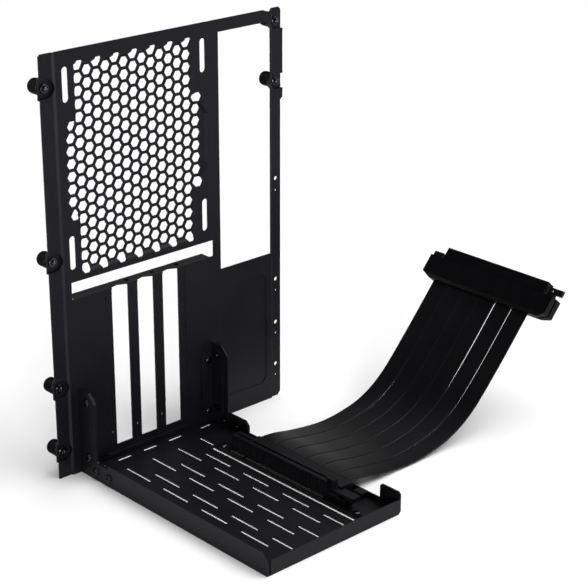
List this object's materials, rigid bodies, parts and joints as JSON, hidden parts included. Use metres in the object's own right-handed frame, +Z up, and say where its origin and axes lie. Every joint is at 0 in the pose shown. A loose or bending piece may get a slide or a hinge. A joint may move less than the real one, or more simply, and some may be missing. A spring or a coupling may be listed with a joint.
{
  "type": "vertical graphics card mount",
  "caption": "Vertical graphics card mount: honeycomb rear panel with card slots and thumbscrews, slotted tray with card socket, and a flat ribbon riser with edge plug.",
  "frame": {"origin": "middle of the base of panel and tray, without the ribbon and its plug, at the standing surface", "axes": "+X across the panel towards the ribbon, +Y from the tray to the rear panel, +Z up"},
  "size_m": [0.306, 0.1914, 0.274],
  "materials": {
    "steel": "fine satin black powder coat",
    "screw": "black zinc plate, bright at the cross recess",
    "knob": "black anodised knob",
    "board": "black solder mask",
    "socket": "moulded black nylon",
    "contact": "tinned contact tails",
    "ribbon": "soft black film ribbon",
    "shell": "moulded black plastic"
  },
  "bodies": {
    "mount": {"rear_panel": "steel", "card_tray": "steel", "bracket_plate_left": "steel", "bracket_plate_right": "steel", "corner_angle_left": "steel", "corner_angle_right": "steel", "panel_screws": "screw", "bracket_screws_left": "screw", "bracket_screws_right": "screw", "riser_screws": "screw", "riser_board": "board", "plug_board": "board", "slot_housing": "socket", "ribbon_cover": "socket", "slot_contacts": "contact", "ribbon_strip_1": "ribbon", "ribbon_strip_2": "ribbon", "ribbon_strip_3": "ribbon", "ribbon_strip_4": "ribbon", "ribbon_strip_5": "ribbon", "ribbon_strip_6": "ribbon", "plug_shell_front": "shell", "plug_shell_rear": "shell", "finger_cap": "shell"},
    "latch": {"slot_latch": "socket"},
    "thumbscrew_left_1_body": {"thumbscrew_left_1": "knob"},
    "thumbscrew_left_2_body": {"thumbscrew_left_2": "knob"},
    "thumbscrew_left_3_body": {"thumbscrew_left_3": "knob"},
    "thumbscrew_left_4_body": {"thumbscrew_left_4": "knob"},
    "thumbscrew_right_1_body": {"thumbscrew_right_1": "knob"},
    "thumbscrew_right_2_body": {"thumbscrew_right_2": "knob"}
  },
  "joints": [
    {"name": "latch_hinge", "type": "hinge", "parent": "mount", "child": "latch", "pos_m": [0.01265, -0.0655, 0.0045], "axis": [1, 0, 0], "range_deg": [0, 18]},
    {"name": "thumbscrew_left_1_turn", "type": "hinge", "parent": "mount", "child": "thumbscrew_left_1_body", "pos_m": [-0.0911, 0.0847, 0.2529], "axis": [0, 1, 0], "continuous": true},
    {"name": "thumbscrew_left_2_turn", "type": "hinge", "parent": "mount", "child": "thumbscrew_left_2_body", "pos_m": [-0.0911, 0.0847, 0.1449], "axis": [0, 1, 0], "continuous": true},
    {"name": "thumbscrew_left_3_turn", "type": "hinge", "parent": "mount", "child": "thumbscrew_left_3_body", "pos_m": [-0.0911, 0.0847, 0.0609], "axis": [0, 1, 0], "continuous": true},
    {"name": "thumbscrew_left_4_turn", "type": "hinge", "parent": "mount", "child": "thumbscrew_left_4_body", "pos_m": [-0.0911, 0.0847, 0.0178], "axis": [0, 1, 0], "continuous": true},
    {"name": "thumbscrew_right_1_turn", "type": "hinge", "parent": "mount", "child": "thumbscrew_right_1_body", "pos_m": [0.0907, 0.0847, 0.2649], "axis": [0, 1, 0], "continuous": true},
    {"name": "thumbscrew_right_2_turn", "type": "hinge", "parent": "mount", "child": "thumbscrew_right_2_body", "pos_m": [0.0907, 0.0847, 0.2251], "axis": [0, 1, 0], "continuous": true}
  ]
}
